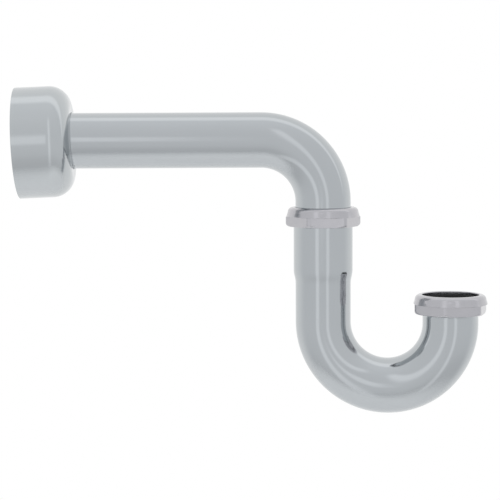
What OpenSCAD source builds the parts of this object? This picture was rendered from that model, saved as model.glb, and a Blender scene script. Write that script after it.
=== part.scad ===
// Tubular P-trap with a box escutcheon, drawn in millimetres.
// The wall tube runs along +X from its open wall end at the origin, and +Z is up.
// It turns down into a leg, which stands in the long socket of the trap bend.
// At each slip joint a nut holds a rubber washer round the tube, on top of a socket.

/* [Tube] */
// Outside diameter of the tube
tube_d = 31.75; // [25:0.05:40]
// Thickness of the tube wall
tube_wall = 0.81; // [0.5:0.01:1.6]

/* [Wall bend] */
// Length from the wall end of the tube to the centre of the down leg
wall_run = 171.5; // [120:0.5:320]
// Centre-line radius of the bend into the down leg
wall_bend_r = 35.5; // [28:0.5:36]
// Drop from the wall tube's axis to the open end of the down leg
leg_drop = 69.5; // [56:0.5:71]

/* [Trap bend] */
// Centre-line radius of the U bend
trap_bend_r = 36.5; // [28:0.5:60]
// Drop from the wall tube's axis to the level where the U bend starts
trap_drop = 104.5; // [90:0.5:160]
// Angle of the trap bend about the down leg, negative towards the front
swivel_deg = -9; // [-90:1:90]
// Length of the long socket that takes the down leg
socket_len = 31.5; // [28:0.5:38]
// Length of the swaged taper below the long socket
socket_taper = 7.5; // [3:0.5:9]
// Length of the short socket inside the inlet nut
inlet_socket_len = 5; // [4:0.5:6]
// Length of the swaged taper below the short socket
inlet_taper = 2; // [1:0.5:4]
// Radial clearance of a tube in its socket
socket_clear = 0.275; // [0.2:0.005:0.4]

/* [Threads] */
// Height of the thread's crest above the socket wall
thread_h = 0.5; // [0.3:0.05:0.8]
// Length of the threaded end of each socket
thread_len = 5; // [3:0.5:5]
// Radial clearance between the crest and the nut's bore
thread_clear = 0.15; // [0.1:0.05:0.3]

/* [Slip nuts] */
// Drop from the wall tube's axis to the top of the outlet nut
outlet_nut_drop = 38.5; // [38:0.5:44]
// Rise of the inlet nut's top above the start of the U bend
inlet_nut_rise = 16.5; // [16:0.5:40]
// Overall height of a slip nut
nut_h = 11; // [10:0.5:14]
// Height of the hexagonal band
hex_h = 5.6; // [4:0.2:6.4]
// Wall of the nut at the middle of a flat
flat_wall = 1.4; // [1:0.1:3]
// Radius of the hexagon's rounded corners
hex_corner_r = 2.7; // [1:0.1:5]
// Radius of the rounded lower ends of the hexagon's corners
hex_foot_r = 2; // [0.6:0.1:3]
// Wall of the round crown where it meets the hexagon
crown_wall = 3.5; // [3:0.1:4.5]
// Inward lean of the crown's side up to its shoulder
crown_lean = 0.8; // [0:0.1:1]
// Radius of the crown's rounded shoulder
crown_r = 2.8; // [1.5:0.1:3]
// Thickness of the nut's inturned top
cap_t = 1.6; // [1:0.1:2]
// Radial clearance of the tube in the nut's top hole
nut_clear = 0.375; // [0.3:0.025:0.8]
// Turn of the outlet nut about the leg
outlet_nut_turn = 13; // [0:1:59]
// Turn of the inlet nut about the inlet
inlet_nut_turn = 23; // [0:1:59]

/* [Slip washers] */
// Thickness of a slip washer
washer_t = 3; // [2:0.1:3.6]
// Radial clearance of the tube in the washer
washer_clear = 0.075; // [0.05:0.005:0.1]
// Radial gap between the washer and the nut's bore
washer_side_gap = 0.3; // [0.2:0.05:0.6]
// Gap on each flat side of a washer
washer_face_gap = 0.05; // [0.01:0.01:0.1]

/* [Box escutcheon] */
// Outside diameter of the escutcheon
flange_d = 63.5; // [60:0.5:110]
// Depth of the escutcheon from its rim to its face
flange_depth = 31.5; // [16:0.5:60]
// Outside radius of the drawn shoulder
shoulder_r = 12.3; // [4:0.1:12.5]
// Thickness of the sheet
sheet_t = 0.5; // [0.4:0.05:1.2]
// Radial clearance of the tube in the escutcheon's hole
flange_clear = 0.35; // [0.3:0.05:1]
// Tilt of the loose escutcheon on the tube
flange_tilt = 2.3; // [0:0.1:4]
// Distance of the rim's centre past the tube's wall end
rim_ahead = 3.1; // [0:0.1:12]

/* [Hidden] */
$fn = 96;

chrome = [0.80, 0.82, 0.84];
cast_chrome = [0.72, 0.72, 0.76];
black_rubber = [0.05, 0.05, 0.055];

tube_r = tube_d / 2;
bore_r = tube_r - tube_wall;
socket_bore_r = tube_r + socket_clear;
socket_r = socket_bore_r + tube_wall;
crest_r = socket_r + thread_h;
nut_bore_r = crest_r + thread_clear;
nut_hole_r = tube_r + nut_clear;
washer_bore_r = tube_r + washer_clear;
washer_r = nut_bore_r - washer_side_gap;
flange_r = flange_d / 2;
flange_hole_r = tube_r + flange_clear;

washer_room = washer_t + 2 * washer_face_gap;
outlet_nut_top = -outlet_nut_drop;
outlet_top = outlet_nut_top - cap_t - washer_room;
inlet_nut_top = inlet_nut_rise - trap_drop;
inlet_top = inlet_nut_top - cap_t - washer_room;
inlet_x = 2 * trap_bend_r;
past = 1;

// Part of a ring that stands in the XZ plane, from the angle "from" through "angle"
// degrees, measured from +X towards +Z
module ring_part(line_r, r, from, angle)
    rotate([90, 0, 0])
        rotate([0, 0, from])
            rotate_extrude(angle = angle, $fn = 180)
                translate([line_r, 0])
                    circle(r = r);

// A straight upright rod between two levels
module rod(r, low, high)
    translate([0, 0, low])
        cylinder(r = r, h = high - low);

// A swaged end that points up: a socket, its taper and the tube below, as one solid rod
module swaged_end(wide_r, narrow_r, top, socket, taper, low) {
    rod(wide_r, top - socket, top);
    translate([0, 0, top - socket - taper])
        cylinder(r1 = narrow_r, r2 = wide_r, h = taper);
    rod(narrow_r, low, top - socket - taper);
}

// Everything that swivels with the trap bend, on the axis of the down leg
module at_trap()
    translate([wall_run, 0, 0])
        rotate([0, 0, swivel_deg])
            children();

// The course of the wall bend at one radius, with its open ends drawn longer
module wall_bend_course(r, longer = 0) {
    translate([-longer, 0, 0])
        rotate([0, 90, 0])
            cylinder(r = r, h = wall_run - wall_bend_r + longer);
    translate([wall_run - wall_bend_r, 0, -wall_bend_r])
        ring_part(wall_bend_r, r, 0, 90);
    translate([wall_run, 0, 0])
        rod(r, -leg_drop - longer, -wall_bend_r);
}

module wall_bend()
    color(chrome)
        difference() {
            wall_bend_course(tube_r);
            wall_bend_course(bore_r, past);
        }

// The course of the trap bend between its two swaged ends
module trap_bend_course(wide_r, narrow_r, longer = 0) {
    swaged_end(wide_r, narrow_r, outlet_top, socket_len, socket_taper, -trap_drop);
    translate([trap_bend_r, 0, -trap_drop])
        ring_part(trap_bend_r, narrow_r, 180, 180);
    translate([inlet_x, 0, 0])
        swaged_end(wide_r, narrow_r, inlet_top, inlet_socket_len, inlet_taper, -trap_drop);
    rod(wide_r, outlet_top - past, outlet_top + longer);
    translate([inlet_x, 0, 0])
        rod(wide_r, inlet_top - past, inlet_top + longer);
}

module trap_bend()
    color(chrome)
        at_trap()
            difference() {
                union() {
                    trap_bend_course(socket_r, tube_r);
                    rod(crest_r, outlet_top - thread_len, outlet_top);
                    translate([inlet_x, 0, 0])
                        rod(crest_r, inlet_top - thread_len, inlet_top);
                }
                trap_bend_course(socket_bore_r, bore_r, past);
            }

// A hexagon with rounded corners, "apothem" from its centre to a flat
module round_hexagon(apothem, corner_r) {
    reach = (apothem - corner_r) / cos(30);
    inner = [for (k = [0:5]) reach * [cos(60 * k), sin(60 * k)]];
    flats = [for (k = [0:5], side = [-1, 1])
        inner[k] + corner_r * [cos(60 * k + 30 * side), sin(60 * k + 30 * side)]];
    polygon(flats);
    for (centre = inner)
        translate(centre)
            circle(r = corner_r);
}

// The upper right quarter of a disc, as the rounded corner of a turned outline
module corner_disc(r)
    intersection() {
        circle(r = r);
        square(r + past);
    }

// Half the outline of the round crown, from its foot at height 0 up to its top
module crown_outline(foot_r, h) {
    side_r = foot_r - crown_lean;
    polygon([[0, 0], [foot_r, 0], [side_r, h - crown_r], [side_r - crown_r, h], [0, h]]);
    translate([side_r - crown_r, h - crown_r])
        corner_disc(crown_r);
}

// Half the outline that rounds the lower ends of the hexagon's corners
module foot_outline(r, h) {
    translate([0, hex_foot_r])
        square([r, h - hex_foot_r]);
    square([r - hex_foot_r, h]);
    translate([r - hex_foot_r, hex_foot_r])
        mirror([0, 1])
            corner_disc(hex_foot_r);
}

// A slip nut with its open thread end at height 0 and its inturned top above
module slip_nut() {
    apothem = nut_bore_r + flat_wall;
    corner_reach = (apothem - hex_corner_r) / cos(30) + hex_corner_r;
    difference() {
        union() {
            intersection() {
                linear_extrude(hex_h)
                    round_hexagon(apothem, hex_corner_r);
                rotate_extrude()
                    foot_outline(corner_reach, hex_h);
            }
            translate([0, 0, hex_h])
                rotate_extrude()
                    crown_outline(nut_bore_r + crown_wall, nut_h - hex_h);
        }
        rod(nut_bore_r, -past, nut_h - cap_t);
        rod(nut_hole_r, nut_h - cap_t - past, nut_h + past);
    }
}

// A flat slip washer that stands on height 0
module slip_washer()
    difference() {
        rod(washer_r, 0, washer_t);
        rod(washer_bore_r, -past, washer_t + past);
    }

module outlet_slip_nut()
    color(cast_chrome)
        at_trap()
            translate([0, 0, outlet_nut_top - nut_h])
                rotate([0, 0, outlet_nut_turn])
                    slip_nut();

module outlet_slip_washer()
    color(black_rubber)
        at_trap()
            translate([0, 0, outlet_top + washer_face_gap])
                slip_washer();

module inlet_slip_nut()
    color(cast_chrome)
        at_trap()
            translate([inlet_x, 0, inlet_nut_top - nut_h])
                rotate([0, 0, inlet_nut_turn])
                    slip_nut();

module inlet_slip_washer()
    color(black_rubber)
        at_trap()
            translate([inlet_x, 0, inlet_top + washer_face_gap])
                slip_washer();

// Half the outline of a drawn cup: its rim at height 0 and a rounded shoulder at the top
module cup_outline(r, h, corner_r) {
    square([r - corner_r, h]);
    square([r, h - corner_r]);
    translate([r - corner_r, h - corner_r])
        corner_disc(corner_r);
}

// The sheet of the escutcheon, along +Z with its face's outside at height 0
module drawn_cup()
    translate([0, 0, -flange_depth])
        rotate_extrude($fn = 180)
            difference() {
                cup_outline(flange_r, flange_depth, shoulder_r);
                translate([0, -past])
                    cup_outline(flange_r - sheet_t, flange_depth - sheet_t + past, shoulder_r - sheet_t);
            }

module box_escutcheon()
    color(chrome)
        difference() {
            translate([flange_depth * cos(flange_tilt) - rim_ahead, 0, 0])
                rotate([0, 90 - flange_tilt, 0])
                    drawn_cup();
            rotate([0, 90, 0])
                cylinder(r = flange_hole_r, h = 2 * flange_depth);
        }

wall_bend();
trap_bend();
outlet_slip_nut();
outlet_slip_washer();
inlet_slip_nut();
inlet_slip_washer();
box_escutcheon();
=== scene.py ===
# %% [markdown]
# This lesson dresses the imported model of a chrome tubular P-trap with its box escutcheon.
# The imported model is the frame: it says where each piece is, how big it is and how it moves.
# Each of its seven solids is made again here as a fine surface with a thin wall, because
# polished chrome shows every facet and every missing lip. All sizes below are millimetres
# in the frame's own axes: +X runs along the wall tube, +Z is up, and the camera is at -Y.

# %% Load the frame
from math import cos, pi, radians, sin

import bpy
import numpy as np
from mathutils import Matrix, Vector


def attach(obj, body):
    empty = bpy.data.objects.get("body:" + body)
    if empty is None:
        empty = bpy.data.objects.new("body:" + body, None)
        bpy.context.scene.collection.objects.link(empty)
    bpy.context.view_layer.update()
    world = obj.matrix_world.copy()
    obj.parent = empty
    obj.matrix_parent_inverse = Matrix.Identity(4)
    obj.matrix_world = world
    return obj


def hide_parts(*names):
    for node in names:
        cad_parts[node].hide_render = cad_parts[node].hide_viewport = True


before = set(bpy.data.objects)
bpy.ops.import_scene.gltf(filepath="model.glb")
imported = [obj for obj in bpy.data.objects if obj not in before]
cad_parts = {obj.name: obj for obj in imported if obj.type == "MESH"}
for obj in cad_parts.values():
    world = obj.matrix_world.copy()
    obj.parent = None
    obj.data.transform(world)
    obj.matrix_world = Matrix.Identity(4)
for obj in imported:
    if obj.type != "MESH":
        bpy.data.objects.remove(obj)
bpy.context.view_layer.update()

# %% [markdown]
# Every piece of a trap is a closed ring in one sense: its wall has an outside, a lip, an
# inside and another lip, and that loop is carried round an axis. So one function can put
# all of them into meshes. It takes a grid of points whose rows follow the wall's loop and
# whose columns go round the axis. Both directions close on themselves, so there is no pole
# and no seam, and the signed volume tells whether the faces look outwards.

# %% Put a closed grid of points into a mesh
MM = 0.001


def closed_grid(name, points, unbent):
    """A mesh from points[row, column, xyz] in millimetres, closed in rows and in columns.
    Each face joins four neighbours. The signed volume is the sum over all triangles of
    a . (b x c) / 6, and the faces are turned over where it comes out negative. unbent holds
    the same grid as it was before any bending, for the patterns of the materials."""
    rows, columns = points.shape[:2]
    index = np.arange(rows * columns).reshape(rows, columns)
    below = np.roll(index, -1, axis=0)
    quads = np.stack([index, below, np.roll(below, -1, axis=1), np.roll(index, -1, axis=1)], -1)
    quads = quads.reshape(-1, 4)
    flat = points.reshape(-1, 3) * MM
    a, b, c, d = (flat[quads[:, k]] for k in range(4))
    volume = (np.einsum("ij,ij->", a, np.cross(b, c)) + np.einsum("ij,ij->", a, np.cross(c, d))) / 6
    if volume < 0:
        quads = quads[:, ::-1]
    mesh = bpy.data.meshes.new(name)
    mesh.vertices.add(len(flat))
    mesh.vertices.foreach_set("co", flat.ravel())
    mesh.loops.add(quads.size)
    mesh.loops.foreach_set("vertex_index", quads.ravel())
    mesh.polygons.add(len(quads))
    mesh.polygons.foreach_set("loop_start", np.arange(0, quads.size, 4))
    mesh.update(calc_edges=True)
    mesh.validate()
    mesh.shade_smooth()
    pattern = mesh.attributes.new("unbent", "FLOAT_VECTOR", "POINT")
    pattern.data.foreach_set("vector", (unbent.reshape(-1, 3) * MM).ravel())
    piece = bpy.data.objects.new(name, mesh)
    bpy.context.scene.collection.objects.link(piece)
    print(name, "faces:", len(quads), "volume in mm3:", round(abs(volume) * 1e9))
    return piece

# %% [markdown]
# A lip that ends in a knife edge never catches the light. Each outline is therefore given
# as its sharp corners, and a second function rounds them. It leaves each corner on both
# sides at a chosen reach and joins the two points with a parabola, which touches both
# sides without a kink. One more point beside each rounding keeps the flat parts flat when
# the mesh is shaded smooth.

# %% Round the corners of a closed outline
def rounded(corners, reach, steps=5):
    """Rows of a closed outline from corners[k, column, 2], each corner rounded by reach[k].
    With e the unit vectors from a corner C to its neighbours, A = C + reach e1 and
    B = C + reach e2, the rounding is (1-t)^2 A + 2t(1-t) C + t^2 B for t from 0 to 1.
    The reach is cut to 0.4 of the shorter side, and a corner of reach 0 stays one row."""
    out = []
    t = np.linspace(0, 1, steps)[:, None, None]
    for k in range(len(corners)):
        here = corners[k]
        if reach[k] == 0:
            out.append(here[None])
            continue
        to_last = corners[k - 1] - here
        to_next = corners[(k + 1) % len(corners)] - here
        last_len = np.linalg.norm(to_last, axis=-1, keepdims=True) + 1e-9
        next_len = np.linalg.norm(to_next, axis=-1, keepdims=True) + 1e-9
        size = np.minimum(reach[k], 0.4 * np.minimum(last_len, next_len))
        a = here + size * to_last / last_len
        b = here + size * to_next / next_len
        arc = (1 - t) ** 2 * a + 2 * t * (1 - t) * here + t ** 2 * b
        beside_a = here + 1.2 * size * to_last / last_len
        beside_b = here + 1.2 * size * to_next / next_len
        out += [beside_a[None], arc, beside_b[None]]
    return np.concatenate(out)


def filled_in(rows, step):
    """The same closed outline with each long side cut into equal parts of at most step."""
    following = np.roll(rows, -1, axis=0)
    length = np.linalg.norm(following - rows, axis=-1).max(axis=1)
    parts = np.maximum(np.ceil(length / step).astype(int), 1)
    side = np.repeat(np.arange(len(rows)), parts)
    first = np.repeat(np.cumsum(parts) - parts, parts)
    share = ((np.arange(len(side)) - first) / parts[side])[:, None, None]
    return rows[side] * (1 - share) + following[side] * share

# %% [markdown]
# The wall bend and the trap bend are drawn tube, bent over a mandrel: one straight run, one
# arc and another straight run. Blender could bend a cylinder with a curve or a modifier,
# but the course has a closed formula, so the centre line is computed and the wall's loop
# is carried along it. The loop lives in two numbers: the distance along the tube and the
# height above the bore.

# %% The course of a bent tube
def course(along, start, heading, first_run, bend_r, turn):
    """Centre (x, z) and side vector at each distance along a run, an arc and a run.
    The heading is heading + turn * (along - first_run) / arc length inside the arc, and
    constant outside it. Along the arc the centre moves by bend_r times the difference of
    (sin, -cos) of the heading, with the sign of the turn."""
    arc_len = bend_r * abs(turn)
    angle = heading + turn * np.clip((along - first_run) / arc_len, 0, 1)
    side = np.sign(turn)
    x = start[0] + np.minimum(along, first_run) * cos(heading)
    z = start[1] + np.minimum(along, first_run) * sin(heading)
    x = x + side * bend_r * (np.sin(angle) - sin(heading))
    z = z - side * bend_r * (np.cos(angle) - cos(heading))
    rest = np.maximum(along - first_run - arc_len, 0)
    x = x + rest * cos(heading + turn)
    z = z + rest * sin(heading + turn)
    return x, z, -np.sin(angle), np.cos(angle)


def bent_tube(name, rows, radius, columns, **run):
    """A tube wall. rows holds (along, height above the bore) for the wall's loop, and
    radius(along, height, angle) is the distance from the centre line. A point is
    centre + radius * (cos(angle) * side vector + sin(angle) * Y)."""
    angle = np.linspace(0, 2 * pi, columns, endpoint=False)[None, :]
    along, height = rows[:, 0, 0][:, None], rows[:, 0, 1][:, None]
    r = radius(along, height, angle)
    x, z, side_x, side_z = course(along, **run)
    points = np.stack([x + r * np.cos(angle) * side_x, r * np.sin(angle),
                       z + r * np.cos(angle) * side_z], -1)
    unbent = np.stack([along + 0 * r, r * np.sin(angle), r * np.cos(angle)], -1)
    return points, unbent


TUBE_R = 15.875
WALL = 0.81
BORE_R = TUBE_R - WALL
WALL_RUN = 171.5
BEND_R = 35.5
LEG_DROP = 69.5

first_run = WALL_RUN - BEND_R
whole = first_run + BEND_R * pi / 2 + LEG_DROP - BEND_R
loop = np.array([[0, WALL], [whole, WALL], [whole, 0], [0, 0]], float)[:, None, :]
loop = filled_in(rounded(loop, [0.3, 0.3, 0.25, 0.25]), 1.6)
points, unbent = bent_tube("wall_bend_tube", loop, lambda s, h, a: BORE_R + h + 0 * a, 168,
                           start=(0, 0), heading=0, first_run=first_run, bend_r=BEND_R,
                           turn=-pi / 2)
wall_bend = closed_grid("wall_bend_tube", points, unbent)
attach(wall_bend, "wall_bend")
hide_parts("wall_bend")

# %% [markdown]
# The trap bend is the same tube with both ends swaged out into sockets. A swage has no
# sharp line where it starts, so the radius eases over the length of the taper with a
# smooth step. The mouth of each socket carries a rolled thread: the thin wall itself is
# pressed into a wave that climbs one pitch a turn, so the bore has the wave as well.

# %% The trap bend with its sockets and threads
SWIVEL = radians(-9)
TRAP_R = 36.5
TRAP_DROP = 104.5
SOCKET_R = 16.96
SOCKET_TOP = -43.2
SOCKET_LEN = 31.5
TAPER = 7.5
INLET_TOP = -92.7
INLET_SOCKET = 5.0
INLET_TAPER = 2.0
PITCH = 2.21
THREAD = 0.5
THREAD_LEN = 5.0


def ease(x):
    """A smooth step from 0 to 1: 3x^2 - 2x^3, flat at both ends."""
    x = np.clip(x, 0, 1)
    return x * x * (3 - 2 * x)


def thread_wave(height, angle):
    """A rounded ridge that climbs one pitch a turn, from 0 in the root to 1 on the crest."""
    return 0.5 - 0.5 * np.cos(2 * pi * height / PITCH - angle)


down_run = SOCKET_TOP + TRAP_DROP
trap_whole = down_run + TRAP_R * pi + TRAP_DROP + INLET_TOP


def trap_radius(along, height, angle):
    """Bore radius, plus the height in the wall, plus the swage and the thread at each end.
    The swage adds the socket's extra radius times a smooth step along the taper. The
    thread adds its wave, faded in over 0.6 mm at the mouth and out over 0.8 mm below."""
    back = trap_whole - along
    swage = ease(1 - (along - SOCKET_LEN) / TAPER) + ease(1 - (back - INLET_SOCKET) / INLET_TAPER)
    near = np.minimum(along, back)
    shown = ease(near / 0.6) * ease((THREAD_LEN - near) / 0.8)
    lift = THREAD * (0.6 + 0.4 * height / WALL)
    turned = np.where(along < back, angle, -angle)
    return BORE_R + height + (SOCKET_R - TUBE_R) * swage + lift * shown * thread_wave(near, turned)


loop = np.array([[0, WALL], [trap_whole, WALL], [trap_whole, 0], [0, 0]], float)[:, None, :]
loop = rounded(loop, [0.25, 0.25, 0.2, 0.2])
near_end = np.linspace(0.4, THREAD_LEN + 0.4, 34)
far = trap_whole - near_end[::-1]
middle = np.linspace(THREAD_LEN + 0.4, trap_whole - THREAD_LEN - 0.4, 132)[1:-1]
stations = np.concatenate([near_end, middle, far])
outer = np.stack([stations, 0 * stations + WALL], -1)[:, None, :]
inner = np.stack([stations[::-1], 0 * stations], -1)[:, None, :]
loop = np.concatenate([loop[:7], outer, loop[7:21], inner, loop[21:]])
points, unbent = bent_tube("trap_bend_tube", loop, trap_radius, 168,
                           start=(0, SOCKET_TOP), heading=-pi / 2, first_run=down_run,
                           bend_r=TRAP_R, turn=pi)


def at_trap(points, x=0.0, z=0.0):
    """Points moved by x and z, turned about the down leg by the swivel, and set on the leg."""
    px, py, pz = points[..., 0] + x, points[..., 1], points[..., 2] + z
    return np.stack([WALL_RUN + px * cos(SWIVEL) - py * sin(SWIVEL),
                     px * sin(SWIVEL) + py * cos(SWIVEL), pz], -1)


trap_bend = closed_grid("trap_bend_tube", at_trap(points), unbent)
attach(trap_bend, "trap_bend")
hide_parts("trap_bend")

# %% [markdown]
# A slip nut is a die casting: a hexagon below, a round crown with a soft shoulder above,
# an inturned top and a thread inside. Cutting it from solids would leave hard edges that a
# plated casting doesn't have. Here the nut's section is a loop whose corners depend on the
# angle: the hexagon gives one radius to the flats and another to the corners, the crown
# gives the same radius all round, and every corner of the section is rounded.

# %% The slip nut's outline
APOTHEM = 19.01
CORNER_R = 2.7
FOOT_R = 2.0
HEX_H = 5.6
NUT_H = 11.0
NUT_BORE = 17.61
NUT_HOLE = 16.25
CAP = 1.6
CROWN_FOOT = 21.11
CROWN_LEAN = 0.8
CROWN_R = 2.8


def hexagon_round(flat_steps, corner_steps):
    """Angles and radii of a hexagon with rounded corners, its first flat facing -Y.
    A flat is x = apothem with y from -w to w, where w = (apothem - corner_r) tan 30. A
    corner is a circle of corner_r about ((apothem - corner_r) / cos 30) at 30 degrees."""
    half = (APOTHEM - CORNER_R) * np.tan(pi / 6)
    y = np.linspace(-half, half, flat_steps)
    flat_angle, flat_r = np.arctan2(y, APOTHEM), np.hypot(y, APOTHEM)
    t = np.linspace(0, pi / 3, corner_steps + 2)[1:-1]
    reach = (APOTHEM - CORNER_R) / cos(pi / 6)
    cx = reach * cos(pi / 6) + CORNER_R * np.cos(t)
    cy = reach * sin(pi / 6) + CORNER_R * np.sin(t)
    angle = np.concatenate([flat_angle, np.arctan2(cy, cx)])
    radius = np.concatenate([flat_r, np.hypot(cx, cy)])
    sides = np.arange(6)[:, None] * pi / 3 - pi / 2
    return (angle[None, :] + sides).ravel(), np.tile(radius, 6)


def nut_section(hexagon):
    """Corners (radius, height) of the section at every column, with each one's rounding.
    The foot is a quarter ellipse from the bottom face out to the hexagon, and it is taller
    under the corners. The crown's shoulder is a quarter circle."""
    column = np.ones_like(hexagon)
    corner_share = np.clip((hexagon - 19.85) / (21.5 - 19.85), 0, 1)
    foot_in = np.minimum(hexagon - 0.35, 21.5 - FOOT_R)
    foot_up = 0.35 + (FOOT_R - 0.35) * corner_share
    corners, reach = [np.stack([NUT_BORE * column, 0 * column], -1)], [0.35]
    for a in np.linspace(0, pi / 2, 9):
        corners.append(np.stack([foot_in + (hexagon - foot_in) * sin(a), foot_up * (1 - cos(a))], -1))
        reach.append(0)
    for share in (0.25, 0.5, 0.75):
        corners.append(np.stack([hexagon, foot_up + share * (HEX_H - foot_up)], -1))
        reach.append(0)
    corners.append(np.stack([hexagon, HEX_H * column], -1))
    reach.append(0.35)
    corners.append(np.stack([CROWN_FOOT * column, HEX_H * column], -1))
    reach.append(0.45)
    side = CROWN_FOOT - CROWN_LEAN
    for a in np.linspace(0, pi / 2, 15):
        corners.append(np.stack([(side - CROWN_R + CROWN_R * cos(a)) * column,
                                 (NUT_H - CROWN_R + CROWN_R * sin(a)) * column], -1))
        reach.append(0)
    for r, z, rounding in ((NUT_HOLE, NUT_H, 0.45), (NUT_HOLE, NUT_H - CAP, 0.3),
                           (NUT_BORE, NUT_H - CAP, 0.3)):
        corners.append(np.stack([r * column, z * column], -1))
        reach.append(rounding)
    return np.array(corners), reach


angle, hexagon = hexagon_round(22, 12)
section = rounded(*nut_section(hexagon), steps=6)
bottom = np.linspace(NUT_H - CAP - 0.5, 0.5, 60)
bore = np.stack(np.broadcast_arrays(NUT_BORE * np.ones(len(angle)), bottom[:, None]), -1)
section = np.concatenate([section, bore])
radius, height = section[..., 0], section[..., 1]
inside = (radius < NUT_BORE + 0.01) & (height < NUT_H - CAP)
ridge = 0.35 * ease((height - 0.6) / 0.8) * ease((6.4 - height) / 0.8)
radius = radius - np.where(inside, ridge * thread_wave(-height, -angle), 0)
nut_grid = np.stack([radius * np.cos(angle), radius * np.sin(angle), height], -1)
print("Nut across the flats:", 2 * APOTHEM, "across the corners:", round(2 * hexagon.max(), 2))

# %% [markdown]
# Both nuts come from one outline. A fitter leaves each nut wherever it gets tight, so the
# two stand at different angles.

# %% The two slip nuts
def turned(points, degrees):
    """Points turned about the vertical axis."""
    c, s = cos(radians(degrees)), sin(radians(degrees))
    return np.stack([c * points[..., 0] - s * points[..., 1],
                     s * points[..., 0] + c * points[..., 1], points[..., 2]], -1)


OUTLET_NUT_TOP = -38.5
INLET_NUT_TOP = -88.0
nut_places = (("outlet_slip_nut", "outlet_nut", 0, OUTLET_NUT_TOP, 13),
              ("inlet_slip_nut", "inlet_nut", 2 * TRAP_R, INLET_NUT_TOP, 23))
nuts = []
for node, body, x, top, degrees in nut_places:
    nut = closed_grid(node + "_casting", at_trap(turned(nut_grid, degrees), x, top - NUT_H), nut_grid)
    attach(nut, body)
    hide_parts(node)
    nuts.append(nut)

# %% [markdown]
# The slip washers are moulded rubber rings. They are nearly hidden, but the inlet's washer
# is what makes the open nut look black, so they get rounded edges and their own finish.

# %% The two slip washers
WASHER_T = 3.0
WASHER_BORE = 15.95
WASHER_R = 17.31
around = np.linspace(0, 2 * pi, 120, endpoint=False)
ring = np.array([[WASHER_BORE, 0], [WASHER_R, 0], [WASHER_R, WASHER_T], [WASHER_BORE, WASHER_T]])
ring = filled_in(rounded(ring[:, None, :], [0.45] * 4), 0.6)
washer_grid = np.stack(np.broadcast_arrays(ring[..., 0] * np.cos(around),
                                           ring[..., 0] * np.sin(around), ring[..., 1]), -1)
washer_places = (("outlet_slip_washer", "outlet_washer", 0, SOCKET_TOP),
                 ("inlet_slip_washer", "inlet_washer", 2 * TRAP_R, INLET_TOP))
washers = []
for node, body, x, seat in washer_places:
    washer = closed_grid(node + "_ring", at_trap(washer_grid, x, seat + 0.05), washer_grid)
    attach(washer, body)
    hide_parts(node)
    washers.append(washer)

# %% [markdown]
# A box escutcheon is a deep cup pressed from thin sheet, with a hole in its face that slips
# over the tube. It is a turned shape, so its section goes round one axis. It hangs a little
# askew on the tube, because the hole is wider than the tube: the axis is tilted, while the
# hole stays true to the tube, which makes the hole a slight ellipse in the sheet.

# %% The box escutcheon
FLANGE_R = 31.75
DEPTH = 31.5
SHOULDER = 12.3
SHEET = 0.5
HOLE_R = 16.225
TILT = radians(2.3)
RIM_AHEAD = 3.1

around = np.linspace(0, 2 * pi, 216, endpoint=False)
hole = HOLE_R / np.sqrt(np.sin(around) ** 2 + (np.cos(around) * cos(TILT)) ** 2)


def cup_section(hole):
    """Corners (radius, height) of the sheet's section, outside first, from rim to hole and
    back inside. Each shoulder is a quarter circle about the same centre."""
    column = np.ones_like(hole)
    centre = FLANGE_R - SHOULDER
    corners, reach = [np.stack([FLANGE_R * column, -DEPTH * column], -1)], [0.22]
    for a in np.linspace(0, pi / 2, 30):
        corners.append(np.stack([(centre + SHOULDER * cos(a)) * column,
                                 (SHOULDER * sin(a) - SHOULDER) * column], -1))
        reach.append(0)
    corners += [np.stack([hole, 0 * column], -1), np.stack([hole, -SHEET * column], -1)]
    reach += [0.22, 0.22]
    for a in np.linspace(pi / 2, 0, 24):
        corners.append(np.stack([(centre + (SHOULDER - SHEET) * cos(a)) * column,
                                 ((SHOULDER - SHEET) * sin(a) - SHOULDER) * column], -1))
        reach.append(0)
    corners.append(np.stack([(FLANGE_R - SHEET) * column, -DEPTH * column], -1))
    reach.append(0.22)
    return np.array(corners), reach


section = filled_in(rounded(*cup_section(hole)), 1.6)
radius, height = section[..., 0], section[..., 1]
cup = np.stack([radius * np.cos(around), radius * np.sin(around), height], -1)


def on_tube(points):
    """The cup's height axis is laid along +X less the tilt, and its face is set on the tube.
    (x, y, h) goes to x * (sin t, 0, -cos t) + y * Y + h * (cos t, 0, sin t)."""
    x, y, h = points[..., 0], points[..., 1], points[..., 2]
    face = DEPTH * cos(TILT) - RIM_AHEAD
    return np.stack([face + x * sin(TILT) + h * cos(TILT), y, h * sin(TILT) - x * cos(TILT)], -1)


escutcheon = closed_grid("box_escutcheon_cup", on_tube(cup), cup)
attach(escutcheon, "escutcheon")
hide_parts("box_escutcheon")

# %% [markdown]
# Bright chrome has almost no colour of its own: it returns a little over half of the light
# and shows the room. What makes it look real is how slightly it fails as a mirror. The
# tube is drawn and then buffed, so it has a faint waviness along its length, hair lines
# round it from the buffing wheel, and patches that are a little less bright. All three
# follow the tube, so they read the unbent position that closed_grid stored.

# %% Helpers for materials
def material(name):
    """A new material with nodes, its shader and its output."""
    new = bpy.data.materials.new(name)
    new.use_nodes = True
    shader = new.node_tree.nodes["Principled BSDF"]
    return new, new.node_tree, shader


def add(tree, kind, **settings):
    """A node of this kind; a setting named after an input socket is set on it."""
    node = tree.nodes.new(kind)
    for key, value in settings.items():
        if hasattr(node, key):
            setattr(node, key, value)
        else:
            node.inputs[key.replace("_", " ")].default_value = value
    return node


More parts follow.
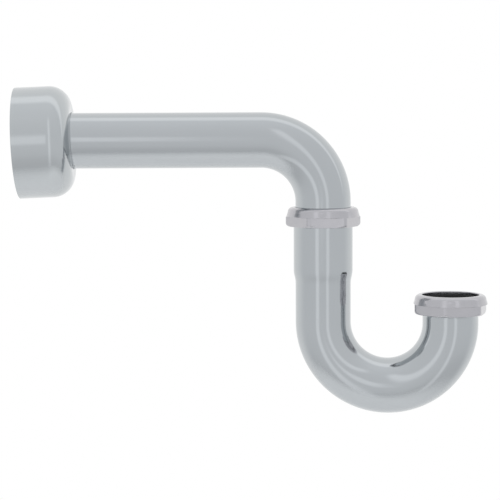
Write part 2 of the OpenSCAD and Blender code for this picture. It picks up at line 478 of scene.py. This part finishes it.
def stretched(tree, scale):
    """The unbent position in metres, multiplied by scale, so that one unit of a texture is
    1 / scale metres long along and across the piece."""
    place = add(tree, "ShaderNodeAttribute", attribute_name="unbent")
    mapping = add(tree, "ShaderNodeMapping")
    mapping.inputs["Scale"].default_value = scale
    tree.links.new(place.outputs["Vector"], mapping.inputs["Vector"])
    return mapping.outputs["Vector"]


def noise(tree, scale, detail=3.0, roughness=0.5):
    """Smooth random values from 0 to 1 on the stretched position."""
    texture = add(tree, "ShaderNodeTexNoise", Scale=1.0, Detail=detail, Roughness=roughness)
    tree.links.new(stretched(tree, scale), texture.inputs["Vector"])
    return texture.outputs["Fac"]


def between(tree, value, low, high, source=(0.3, 0.7)):
    """The value taken from the source range to the range from low to high."""
    node = add(tree, "ShaderNodeMapRange", From_Min=source[0], From_Max=source[1],
               To_Min=low, To_Max=high)
    tree.links.new(value, node.inputs["Value"])
    return node.outputs["Result"]


def raised(tree, value, distance, strength=1.0, under=None):
    """A bump of this many metres for the value's range 0 to 1, on top of another bump."""
    node = add(tree, "ShaderNodeBump", Strength=strength, Distance=distance)
    tree.links.new(value, node.inputs["Height"])
    if under is not None:
        tree.links.new(under, node.inputs["Normal"])
    return node.outputs["Normal"]

# %% Chrome on drawn tube
chrome_tube, tree, shader = material("chrome_on_drawn_tube")
shader.inputs["Metallic"].default_value = 1.0
tone = add(tree, "ShaderNodeMix", data_type="RGBA")
tone.inputs["A"].default_value = (0.470, 0.496, 0.512, 1)
tone.inputs["B"].default_value = (0.500, 0.522, 0.538, 1)
tree.links.new(noise(tree, (18, 60, 60), 4.0, 0.6), tone.inputs["Factor"])
tree.links.new(tone.outputs["Result"], shader.inputs["Base Color"])
tree.links.new(between(tree, noise(tree, (45, 120, 120), 5.0, 0.65), 0.07, 0.15),
               shader.inputs["Roughness"])
waves = raised(tree, noise(tree, (14, 70, 70), 2.0, 0.4), 0.00004)
lines = raised(tree, noise(tree, (2600, 90, 90), 3.0, 0.6), 0.0000012, under=waves)
tree.links.new(lines, shader.inputs["Normal"])

# %% [markdown]
# The escutcheon is pressed from sheet. The press leaves faint rings round the skirt and
# the shoulder, wider than the buffing lines on the tube.

# %% Chrome on drawn sheet
chrome_sheet, tree, shader = material("chrome_on_drawn_sheet")
shader.inputs["Metallic"].default_value = 1.0
tone = add(tree, "ShaderNodeMix", data_type="RGBA")
tone.inputs["A"].default_value = (0.485, 0.512, 0.526, 1)
tone.inputs["B"].default_value = (0.515, 0.537, 0.550, 1)
tree.links.new(noise(tree, (60, 60, 25), 4.0, 0.6), tone.inputs["Factor"])
tree.links.new(tone.outputs["Result"], shader.inputs["Base Color"])
tree.links.new(between(tree, noise(tree, (90, 90, 60), 5.0, 0.65), 0.09, 0.18),
               shader.inputs["Roughness"])
waves = raised(tree, noise(tree, (45, 45, 90), 2.0, 0.4), 0.00005)
lines = raised(tree, noise(tree, (80, 80, 1800), 3.0, 0.6), 0.0000015, under=waves)
tree.links.new(lines, shader.inputs["Normal"])

# %% [markdown]
# A die casting is plated as it comes from the die, so under the chrome it keeps a soft
# orange-peel skin and a few shallow pits, and it looks duller and warmer than the tube.

# %% Chrome on a die casting
chrome_casting, tree, shader = material("chrome_on_die_casting")
shader.inputs["Metallic"].default_value = 1.0
tone = add(tree, "ShaderNodeMix", data_type="RGBA")
tone.inputs["A"].default_value = (0.470, 0.468, 0.492, 1)
tone.inputs["B"].default_value = (0.520, 0.514, 0.534, 1)
tree.links.new(noise(tree, (160, 160, 160), 4.0, 0.6), tone.inputs["Factor"])
tree.links.new(tone.outputs["Result"], shader.inputs["Base Color"])
tree.links.new(between(tree, noise(tree, (300, 300, 300), 4.0, 0.6), 0.14, 0.24),
               shader.inputs["Roughness"])
peel = raised(tree, noise(tree, (420, 420, 420), 3.0, 0.55), 0.00003)
pits = add(tree, "ShaderNodeTexVoronoi", Scale=1.0)
tree.links.new(stretched(tree, (700, 700, 700)), pits.inputs["Vector"])
pitted = raised(tree, between(tree, pits.outputs["Distance"], 0, 1, (0.0, 0.22)), 0.00001, under=peel)
tree.links.new(pitted, shader.inputs["Normal"])

# %% [markdown]
# Moulded rubber is nearly black, matt, and powdery where the mould release stays on it.

# %% Matt black rubber
black_rubber, tree, shader = material("matt_black_rubber")
tone = add(tree, "ShaderNodeMix", data_type="RGBA")
tone.inputs["A"].default_value = (0.012, 0.012, 0.013, 1)
tone.inputs["B"].default_value = (0.030, 0.030, 0.031, 1)
tree.links.new(noise(tree, (350, 350, 350), 4.0, 0.6), tone.inputs["Factor"])
tree.links.new(tone.outputs["Result"], shader.inputs["Base Color"])
tree.links.new(between(tree, noise(tree, (900, 900, 900), 3.0, 0.5), 0.55, 0.75),
               shader.inputs["Roughness"])
grain = raised(tree, noise(tree, (1500, 1500, 1500), 3.0, 0.6), 0.00003)
tree.links.new(grain, shader.inputs["Normal"])

# %% Give each piece its finish
finishes = {wall_bend: chrome_tube, trap_bend: chrome_tube, escutcheon: chrome_sheet}
finishes.update({nut: chrome_casting for nut in nuts})
finishes.update({washer: black_rubber for washer in washers})
for piece, finish in finishes.items():
    piece.data.materials.append(finish)
print("Finishes:", sorted({finish.name for finish in finishes.values()}))

# %% [markdown]
# Chrome is lit by its surroundings, so the world is a white light tent rather than a plain
# colour. Behind the object it is pure white. Towards the camera it is a soft grey that is
# darkest low down, where the tent opens, with two tall pale panels beside the camera and
# one long panel overhead. All of it depends only on the direction in the room, so it stays
# where it is when the camera moves.

# %% The light tent
world = bpy.data.worlds.new("light_tent")
bpy.context.scene.world = world
world.use_nodes = True
tree = world.node_tree
tree.nodes.clear()
direction = add(tree, "ShaderNodeTexCoord").outputs["Generated"]
split = add(tree, "ShaderNodeSeparateXYZ")
tree.links.new(direction, split.inputs["Vector"])
x_part, y_part, z_part = (split.outputs[axis] for axis in "XYZ")


def math(tree, operation, *values):
    """A Math node; each value is a number or another node's output."""
    node = add(tree, "ShaderNodeMath", operation=operation)
    for socket, value in zip(node.inputs, values):
        if isinstance(value, (int, float)):
            socket.default_value = value
        else:
            tree.links.new(value, socket)
    return node.outputs["Value"]


def soft_window(tree, value, centre, half, edge):
    """1 while the value is within half of the centre, easing to 0 over the edge outside."""
    away = math(tree, "ABSOLUTE", math(tree, "SUBTRACT", value, centre))
    node = add(tree, "ShaderNodeMapRange", interpolation_type="SMOOTHSTEP",
               From_Min=half, From_Max=half + edge, To_Min=1.0, To_Max=0.0)
    tree.links.new(away, node.inputs["Value"])
    return node.outputs["Result"]


azimuth = math(tree, "ARCTAN2", x_part, math(tree, "MULTIPLY", y_part, -1.0))
elevation = math(tree, "ARCSINE", z_part)
tilt_over = math(tree, "ARCTAN2", z_part, math(tree, "MULTIPLY", y_part, -1.0))
degree = pi / 180

front = add(tree, "ShaderNodeValToRGB")
steps = ((0.00, 0.84), (0.06, 0.76), (0.13, 0.72), (0.22, 0.76), (0.30, 0.83), (0.40, 0.86),
         (0.60, 0.87), (0.80, 0.89), (0.93, 0.93), (1.00, 0.98))
while len(front.color_ramp.elements) < len(steps):
    front.color_ramp.elements.new(0.5)
for element, (position, grey) in zip(front.color_ramp.elements, steps):
    element.position = position
    element.color = (grey * 0.985, grey * 0.995, grey * 1.01, 1)
tree.links.new(math(tree, "MULTIPLY_ADD", z_part, 0.5, 0.5), front.inputs["Fac"])

behind = add(tree, "ShaderNodeMapRange", interpolation_type="SMOOTHSTEP",
             From_Min=-0.15, From_Max=0.55, To_Min=0.0, To_Max=1.0)
tree.links.new(y_part, behind.inputs["Value"])
tent = add(tree, "ShaderNodeMix", data_type="RGBA")
tree.links.new(behind.outputs["Result"], tent.inputs["Factor"])
tree.links.new(front.outputs["Color"], tent.inputs["A"])
tent.inputs["B"].default_value = (1, 1, 1, 1)

panels = ((azimuth, -26, 3, 7, elevation, 0, 40, 18, 0.24),
          (azimuth, 15.5, 2.5, 6, elevation, 0, 40, 18, 0.22),
          (azimuth, -8, 3, 5, elevation, 6, 5, 7, 0.22),
          (tilt_over, 101, 6, 8, azimuth, 0, 180, 1, 0.24))
glow = 0.0
for across, centre, half, edge, along, middle, reach, fade, strength in panels:
    window = math(tree, "MULTIPLY", soft_window(tree, across, centre * degree, half * degree, edge * degree),
                  soft_window(tree, along, middle * degree, reach * degree, fade * degree))
    glow = math(tree, "MULTIPLY_ADD", window, strength, glow)
pale = add(tree, "ShaderNodeMix", data_type="RGBA", blend_type="ADD")
tree.links.new(glow, pale.inputs["Factor"])
tree.links.new(tent.outputs["Result"], pale.inputs["A"])
pale.inputs["B"].default_value = (1.0, 0.985, 1.0, 1)
background = add(tree, "ShaderNodeBackground", Strength=1.0)
tree.links.new(pale.outputs["Result"], background.inputs["Color"])
output = add(tree, "ShaderNodeOutputWorld")
tree.links.new(background.outputs["Background"], output.inputs["Surface"])

# %% [markdown]
# The floor is a pale disc under the trap. It takes the soft shadow and then fades into the
# tent, so that no horizon cuts the picture.

# %% The floor
FLOOR_Z = -0.34
floor_mesh = bpy.data.meshes.new("floor")
corner = 1.6
floor_mesh.from_pydata([(-corner, -corner, FLOOR_Z), (corner, -corner, FLOOR_Z),
                        (corner, corner, FLOOR_Z), (-corner, corner, FLOOR_Z)], [], [(0, 1, 2, 3)])
floor = bpy.data.objects.new("floor", floor_mesh)
bpy.context.scene.collection.objects.link(floor)
pale_floor, tree, shader = material("pale_floor")
shader.inputs["Base Color"].default_value = (0.93, 0.93, 0.93, 1)
shader.inputs["Roughness"].default_value = 0.9
shader.inputs["Specular IOR Level"].default_value = 0.2
place = add(tree, "ShaderNodeTexCoord").outputs["Object"]
away = add(tree, "ShaderNodeVectorMath", operation="DISTANCE")
tree.links.new(place, away.inputs[0])
away.inputs[1].default_value = (0.13, 0.0, FLOOR_Z)
fade = add(tree, "ShaderNodeMapRange", interpolation_type="SMOOTHSTEP",
           From_Min=0.12, From_Max=0.36, To_Min=0.0, To_Max=1.0)
tree.links.new(away.outputs["Value"], fade.inputs["Value"])
clear = add(tree, "ShaderNodeBsdfTransparent")
mixed = add(tree, "ShaderNodeMixShader")
tree.links.new(fade.outputs["Result"], mixed.inputs["Fac"])
tree.links.new(shader.outputs["BSDF"], mixed.inputs[1])
tree.links.new(clear.outputs["BSDF"], mixed.inputs[2])
tree.links.new(mixed.outputs["Shader"], tree.nodes["Material Output"].inputs["Surface"])
floor.data.materials.append(pale_floor)

# %% [markdown]
# One big lamp overhead adds a soft direction to the shadow. It is kept out of the mirror
# reflections, where the tent's own panel already stands for it.

# %% The lamp
lamp_data = bpy.data.lights.new("overhead_lamp", "AREA")
lamp_data.shape = "RECTANGLE"
lamp_data.size = 1.2
lamp_data.size_y = 0.8
lamp_data.energy = 4.0
lamp = bpy.data.objects.new("overhead_lamp", lamp_data)
bpy.context.scene.collection.objects.link(lamp)
lamp_at = Vector((-0.15, -0.35, 1.2))
lamp.location = lamp_at
lamp.rotation_euler = (Vector((0.13, 0, -0.1)) - lamp_at).to_track_quat("-Z", "Y").to_euler()
lamp.visible_glossy = False
lamp.visible_camera = False

# %% [markdown]
# The camera stands a metre in front of the trap and looks slightly down, with a long lens
# that keeps the tubes from spreading. Its place comes from the aim point, the distance
# and three small angles, in the order yaw, pitch and roll.

# %% The camera
AIM = Vector((0.129446, 0.0, -0.063119))
DISTANCE = 1.0
YAW = radians(-0.077)
PITCH_DOWN = radians(4.907)
ROLL = radians(-0.252)
FOCAL_PIXELS = 1739.2
turn = Matrix.Rotation(YAW, 4, "Z") @ Matrix.Rotation(pi / 2 - PITCH_DOWN, 4, "X") @ Matrix.Rotation(ROLL, 4, "Z")
camera_data = bpy.data.cameras.new("camera")
camera_data.sensor_width = 36.0
camera_data.lens = FOCAL_PIXELS / 500 * 36.0
camera = bpy.data.objects.new("camera", camera_data)
bpy.context.scene.collection.objects.link(camera)
camera.matrix_world = Matrix.Translation(AIM + turn.col[2].to_3d() * DISTANCE) @ turn
bpy.context.scene.camera = camera
bpy.context.scene.view_settings.view_transform = "Standard"
print("Lens in mm:", round(camera_data.lens, 2), "camera at:", [round(v, 4) for v in camera.location])
